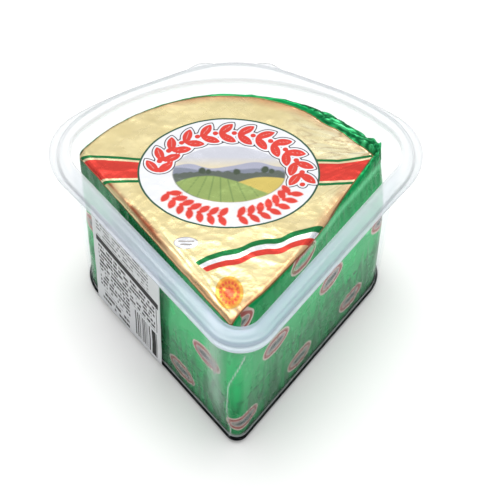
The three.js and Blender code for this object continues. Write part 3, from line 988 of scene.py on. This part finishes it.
def make_tub():
    """The tub with its bends, the crease by its front corner and the slight waves of its wall."""
    rings, rim = tub_profile()
    points = rings.reshape(-1, 3)
    y, z = points[:, 1], points[:, 2]
    normals = grid_normals(rings).reshape(-1, 3)
    on_wall = within(z, 2, 6, RIM_HEIGHT - 8, RIM_HEIGHT - 5)
    crease = corner_crease(normals, y, z) * on_wall
    at_rim = np.zeros(rings.shape[:2])
    at_rim[rim] = 1

    wave = Noise(61)(points, (30, 30, 46))
    moved = points + normals * (CREASE_RELIEF * crease + WALL_WAVE * wave * on_wall)[:, None]
    shades = tub_shades(points, normals, at_rim.ravel(), crease)
    return ring_mesh("tub_shell", moved.reshape(rings.shape), shades)


# ---------------- the label

LABEL = {"width": 55.0, "height": 74.0, "slant": 5.0, "corner": 2.0, "thickness": 0.25}
LABEL_FROM_POINT = 59.4
LABEL_BOTTOM = 2.2
CLEARANCE = 0.3
PRINT_TILT = 0.085
RIPPLE = 0.16
LABEL_RINGS = np.linspace(0.04, 1, 26)
CORNER_CURVE = np.linspace(0, 1, 8)[:, None]
EDGE_POINTS = np.linspace(0, 1, 34)[1:-1, None]


def label_outline(corners):
    """The label's outline with rounded corners."""
    def cut(at, towards):
        """Where the rounding of a corner ends on the way to another."""
        return at + LABEL["corner"] * unit(towards - at)

    outline = []
    for before, at, after in zip(np.roll(corners, 1, 0), corners, np.roll(corners, -1, 0)):
        start, end, t = cut(at, before), cut(at, after), CORNER_CURVE
        outline.extend((1 - t) ** 2 * start + 2 * t * (1 - t) * at + t**2 * end)
        outline.extend(lerp(end, cut(after, at), EDGE_POINTS))
    return np.array(outline)


def make_label():
    """The label's slanted sheet, a little wavy, on the tub's left wall."""
    width, height, slant = LABEL["width"], LABEL["height"], LABEL["slant"]
    corners = np.array([(0, 0), (width, 0), (width + slant, height), (slant, height)])
    outline = label_outline(corners)
    back = [(share, 0.0) for share in LABEL_RINGS]
    front = [(share, LABEL["thickness"]) for share in LABEL_RINGS[::-1]]
    flat = np.stack([
        np.column_stack([lerp(corners.mean(0), outline, share), np.full(len(outline), depth)])
        for share, depth in back + front
    ])
    u, v, _ = flat.reshape(-1, 3).T
    across = u - slant * v / height
    attributes = {"across": across, "up": v + PRINT_TILT * across}
    ripple = Noise(41).on_sheet(u, v, (17, 9))
    flat[:, :, 2] += RIPPLE * (1 + ripple.reshape(flat.shape[:2]))

    cos, sin = direction(TUB_PLAN["half_angle"])
    outwards = unit(np.array([-cos, -sin, -WALL_DRAFT / RIM_HEIGHT]))
    towards_point = np.array([sin, -cos, 0])
    up_the_wall = np.cross(outwards, towards_point)
    foot = WALL_DRAFT * (LABEL_BOTTOM / RIM_HEIGHT) + CLEARANCE
    corner = np.array([-cos * foot, PLAN_Y - sin * foot, LABEL_BOTTOM])
    corner -= towards_point * (LABEL_FROM_POINT + width)
    rings = corner + flat @ np.stack([towards_point, up_the_wall, outwards])
    return ring_mesh("paper_label", rings, attributes)


# ---------------- materials


class Nodes:
    """The node tree of a material or world, with short calls for the nodes that it uses."""

    def __init__(self, owner):
        owner.use_nodes = True
        self.owner = owner
        self.tree = owner.node_tree
        self.tree.nodes.clear()

    def add(self, kind, inputs=None, **settings):
        node = self.tree.nodes.new("ShaderNode" + kind)
        for key, value in settings.items():
            setattr(node, key, value)
        for key, value in (inputs or {}).items():
            self.set(node.inputs[key], value)
        return node

    def set(self, socket, value):
        if isinstance(value, bpy.types.NodeSocket):
            self.tree.links.new(value, socket)
        else:
            socket.default_value = value

    def math(self, operation, *values):
        return self.add("Math", dict(enumerate(values)), operation=operation).outputs[0]

    def times(self, *values):
        """The product of several values."""
        total = values[0]
        for value in values[1:]:
            total = self.math("MULTIPLY", total, value)
        return total

    def attribute(self, name):
        return self.add("Attribute", attribute_name=name).outputs["Fac"]

    def ramp(self, value, low, high, first=0.0, last=1.0):
        inputs = {"Value": value, "From Min": low, "From Max": high, "To Min": first, "To Max": last}
        return self.add("MapRange", inputs).outputs["Result"]

    def mix(self, share, first, last):
        node = self.add("Mix", data_type="RGBA")
        for index, value in ((0, share), (6, first), (7, last)):
            self.set(node.inputs[index], value)
        return node.outputs[2]

    def position(self):
        return self.add("TexCoord").outputs["Object"]

    def place(self, x, y, z=0.0):
        return self.add("CombineXYZ", {0: x, 1: y, 2: z}).outputs[0]

    def noise(self, place, scale, detail):
        inputs = {"Vector": place, "Scale": scale, "Detail": detail}
        return self.add("TexNoise", inputs).outputs["Fac"]

    def bump(self, height, distance, strength):
        inputs = {"Height": height, "Distance": distance, "Strength": strength}
        return self.add("Bump", inputs).outputs[0]

    def sheen(self, straight, glancing, normal):
        """The share of light that a clear sheet's surface reflects, the same from both its sides."""
        facing = self.add("LayerWeight", {"Blend": 0.5, "Normal": normal}).outputs["Facing"]
        return self.ramp(self.math("POWER", facing, 7.0), 0, 1, straight, glancing)

    def shader(self, kind, inputs):
        return self.add(kind, inputs).outputs[0]

    def output(self, shader):
        self.add("OutputMaterial", {"Surface": shader})
        return self.owner


def foil_material(side_inks, top_inks):
    """Lacquered foil: green with folds, the gold sheet over it, and the inks of the two prints."""
    n = Nodes(bpy.data.materials.new("printed_foil"))
    place = n.position()
    mottle = n.noise(place, 90, 4)
    cloud = n.noise(place, 24, 2)

    def cover(field, reach, soft):
        """1 where a shape's distance is under reach, with an edge that is soft mm wide."""
        return n.ramp(n.attribute(field), reach + soft / 2, reach - soft / 2)

    colour = n.mix(n.ramp(cloud, 0.4, 0.75, 0.0, 0.5), FOIL_GREEN, FOIL_DARK)
    # Painted shade of the folds, under the flange and towards the foot.
    colour = n.mix(n.attribute("dark"), colour, FOIL_DARK)
    for field, reach, soft, ink in side_inks:
        colour = n.mix(n.times(cover(field, reach, soft), 0.95), colour, ink)
    # Painted shade again over the side's inks, then painted highlights of the folds.
    colour = n.mix(n.times(n.attribute("dark"), 0.35), colour, FOIL_DARK)
    colour = n.mix(n.attribute("fold_highlight"), colour, FOIL_HIGHLIGHT)

    sheet = n.mix(n.ramp(n.attribute("rim"), -4.6, -0.3, 0.0, 0.8), GOLD, GOLD_RIM)
    # Painted highlights on the fan's crinkles, then pale spots of painted highlight at random over the
    # gold.
    sheet = n.mix(n.attribute("fan_highlight"), sheet, GOLD_HIGHLIGHT)
    sheet = n.mix(n.ramp(mottle, 0.35, 0.75, 0.0, 0.2), sheet, GOLD_HIGHLIGHT)
    # Painted brown shade in the creases.
    sheet = n.mix(n.attribute("crease_shade"), sheet, CREASE_BROWN)
    for field, reach, soft, ink in top_inks:
        sheet = n.mix(cover(field, reach, soft), sheet, ink)
    on_gold = cover("gold", 0, 0.15)
    colour = n.mix(cover("gold", 0.5, 0.4), colour, GOLD_EDGE)
    colour = n.mix(on_gold, colour, sheet)

    # The gold shines most and the printed oval least.
    printed = n.times(on_gold, cover("oval", 0, 0.3))
    height = n.math("ADD", n.times(mottle, 0.6), n.noise(place, 420, 2))
    return n.output(n.shader("BsdfPrincipled", {
        "Base Color": colour,
        "Metallic": n.ramp(on_gold, 0, 1, 0.5, n.ramp(printed, 0, 1, 0.85, 0.3)),
        "Specular IOR Level": 0.15,
        "Roughness": n.ramp(mottle, 0.3, 0.7, 0.2, 0.32),
        "Normal": n.bump(height, 0.00018, 0.6),
    }))


def clear_plastic():
    """A clear sheet with some milkiness, thrown light straight through and a gloss on both its faces."""
    n = Nodes(bpy.data.materials.new("clear_plastic"))
    normal = n.bump(n.noise(n.position(), 28, 2), 0.0012, 0.35)
    tint = n.mix(n.attribute("cool"), (0.88, 0.885, 0.92, 1), (0.62, 0.72, 0.88, 1))
    milk_inputs = {"Color": tint, "Normal": normal}
    diffuse = n.shader("BsdfDiffuse", milk_inputs)
    milk = n.shader("MixShader", {0: 0.45, 1: diffuse, 2: n.shader("BsdfTranslucent", milk_inputs)})
    # Painted shade: light through the sheet is held back on the rim's bends and at the foot.
    through = n.mix(n.attribute("dark"), (0.985, 0.992, 0.996, 1), (0.03, 0.04, 0.045, 1))
    clear = n.shader("BsdfTransparent", {"Color": through})
    sheet = n.shader("MixShader", {0: n.attribute("haze"), 1: clear, 2: milk})
    gloss = n.shader("BsdfGlossy", {"Roughness": 0.07, "Normal": normal})
    shine = n.times(n.attribute("gloss"), n.sheen(0.045, 0.6, normal))
    return n.output(n.shader("MixShader", {0: shine, 1: sheet, 2: gloss}))


def floor_material():
    n = Nodes(bpy.data.materials.new("pale_floor"))
    colour = n.mix(n.noise(n.position(), 14, 3), (0.93, 0.93, 0.92, 1), (0.95, 0.95, 0.94, 1))
    return n.output(n.shader("BsdfPrincipled", {"Base Color": colour, "Roughness": 0.75}))


# The noise behind the label's dashes and bars: how fine it is across, and where their rows lie in it.
STROKE_SCALE, ROW_STEP, BAR_SCALE, BAR_ROW = 1.9, 5.3, 1.35, 3.7


def label_material():
    """White paper with rows of dashes, a rule and upright bars, in the label's own coordinates in mm."""
    n = Nodes(bpy.data.materials.new("label_paper"))
    across, up = n.attribute("across"), n.attribute("up")

    def box(left, right, low, high):
        return n.times(
            n.math("GREATER_THAN", across, left), n.math("LESS_THAN", across, right),
            n.math("GREATER_THAN", up, low), n.math("LESS_THAN", up, high),
        )

    def rows(area, pitch, gaps, share):
        """Rows of dashes that stand for lines of print, without a letter among them."""
        step = n.math("DIVIDE", up, pitch)
        line = n.math("LESS_THAN", n.math("FRACT", step), share)
        row = n.times(n.math("FLOOR", step), ROW_STEP)
        words = n.noise(n.place(n.times(across, gaps), row, pitch), 1, 0)
        strokes = n.noise(n.place(n.times(across, STROKE_SCALE), row), 1, 1)
        return n.times(line, n.ramp(words, 0.4, 0.42), n.ramp(strokes, 0.4, 0.5, 0.5, 1.0), box(*area))

    bars = n.noise(n.place(n.times(across, BAR_SCALE), BAR_ROW), 1, 1)
    printed = [
        (rows((3.5, 46, 55.2, 73), 2.6, 0.5, 0.42), rgb(112, 112, 118)),
        (box(2.6, 53.6, 50.0, 54.2), rgb(20, 20, 22)),
        (rows((4, 50.5, 29.4, 49.2), 3.1, 0.5, 0.6), LABEL_INK),
        (rows((4, 29, 15, 29.4), 3.1, 0.6, 0.6), LABEL_INK),
        (rows((5, 28, 4.4, 13), 4.2, 0.3, 0.56), rgb(30, 30, 32)),
        (n.times(n.ramp(bars, 0.495, 0.505), box(33, 52, 7, 27.5)), rgb(24, 24, 26)),
        (box(51.7, 52.2, 29.4, 50), rgb(70, 70, 74)),
    ]
    colour = n.mix(n.noise(n.position(), 900, 2), (0.84, 0.85, 0.88, 1), (0.88, 0.885, 0.9, 1))
    for cover, ink in printed:
        colour = n.mix(cover, colour, ink)
    paper = n.shader("BsdfPrincipled", {"Base Color": colour, "Roughness": 0.5})
    glow = n.shader("BsdfTranslucent", {"Color": colour})
    return n.output(n.shader("MixShader", {0: 0.4, 1: paper, 2: glow}))


def dress(piece, material):
    piece.data.materials.clear()
    piece.data.materials.append(material)


# ---------------- stage, lights and camera

FLOOR_SIZE = 6
# The world's light by the height of its direction: where it starts to grow and stops, and how strong.
WORLD_HEIGHTS, WORLD_LEVELS = (0.1, 0.66), (0.5, 1.0)
# Softboxes, in metres and watts: place, target, size and power.
SOFTBOXES = {
    "overhead": ((0.0, 0.22, 1.05), (0, 0.14, 0), (1.0, 0.66), 3.9),
    "key": ((-0.1, 0.3, 1.08), (0, 0, 0.05), (0.6, 0.5), 2.3),
}

CAMERA_PLACE = Vector((-14.45, -473.15, 584.82)) * MM
CAMERA_TARGET = Vector((8.57, 43.75, 0)) * MM
CAMERA_ROLL = math.radians(1.86)
CAMERA_LENS = 108.0


def aimed(name, data, place, target, roll=0.0):
    """A lamp or camera at place that faces target."""
    thing = linked(name, data)
    thing.location = place
    thing.rotation_mode = "QUATERNION"
    look = (Vector(target) - Vector(place)).to_track_quat("-Z", "Y")
    thing.rotation_quaternion = look @ Quaternion((0, 0, 1), roll)
    return thing


def make_stage():
    bpy.ops.mesh.primitive_plane_add(size=FLOOR_SIZE)
    floor = bpy.context.object
    floor.name = "floor"
    dress(floor, floor_material())

    n = Nodes(bpy.data.worlds.new("studio"))
    way = n.add("TexCoord").outputs["Generated"]
    height = n.add("SeparateXYZ", {0: way}).outputs["Z"]
    level = n.ramp(height, *WORLD_HEIGHTS, *WORLD_LEVELS)
    background = n.shader("Background", {"Color": (1, 1, 1, 1), "Strength": level})
    n.add("OutputWorld", {"Surface": background})
    bpy.context.scene.world = n.owner

    for name, (place, target, size, power) in SOFTBOXES.items():
        data = bpy.data.lights.new(name, "AREA")
        data.shape = "RECTANGLE"
        data.size, data.size_y = size
        data.energy = power
        aimed(name, data, place, target)


def make_camera():
    data = bpy.data.cameras.new("camera")
    data.lens = CAMERA_LENS
    data.clip_start, data.clip_end = 0.01, 20
    bpy.context.scene.camera = aimed("camera", data, CAMERA_PLACE, CAMERA_TARGET, CAMERA_ROLL)


# ---------------- the object

make_camera()
make_stage()
bpy.context.scene.view_settings.view_transform = "Standard"
bpy.context.scene.cycles.transparent_max_bounces = 24

foil, *foil_inks = make_foil()
dress(foil, foil_material(*foil_inks))
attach(foil, BODY)
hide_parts("foil_wedge")

tub = make_tub()
dress(tub, clear_plastic())
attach(tub, BODY)
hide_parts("tub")

label = make_label()
dress(label, label_material())
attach(label, BODY)
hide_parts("label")
